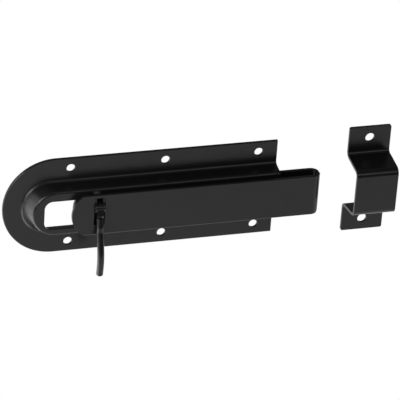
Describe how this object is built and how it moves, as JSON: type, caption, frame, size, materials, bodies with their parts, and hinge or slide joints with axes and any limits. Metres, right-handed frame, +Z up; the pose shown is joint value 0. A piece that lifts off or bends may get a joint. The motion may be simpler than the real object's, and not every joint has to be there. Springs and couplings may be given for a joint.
{
  "type": "sliding bolt",
  "caption": "Pressed black steel sliding bolt: folded flat bolt astride a channelled, slotted back plate, with a drop handle and a separate hat-shaped keeper.",
  "frame": {"origin": "middle of the back plate's screw holes, on the plane of its back face", "axes": "+X along the bolt towards the keeper, +Y into the door or gate that the plate is screwed to, +Z up"},
  "size_m": [0.29, 0.0315, 0.0886],
  "materials": {
    "black_coated_steel": "satin"
  },
  "bodies": {
    "base": {"back_plate": "black_coated_steel", "keeper": "black_coated_steel"},
    "sliding_bolt": {"bolt": "black_coated_steel", "handle_fork": "black_coated_steel", "handle_pin": "black_coated_steel"},
    "drop_handle": {"handle": "black_coated_steel"}
  },
  "joints": [
    {"name": "bolt_slide", "type": "slide", "parent": "base", "child": "sliding_bolt", "axis": [1, 0, 0], "range_m": [-0.025, 0.07]},
    {"name": "handle_swing", "type": "hinge", "parent": "sliding_bolt", "child": "drop_handle", "pos_m": [-0.0523, -0.0196, 0.006], "axis": [-1, 0, 0], "range_deg": [0, 140]}
  ]
}
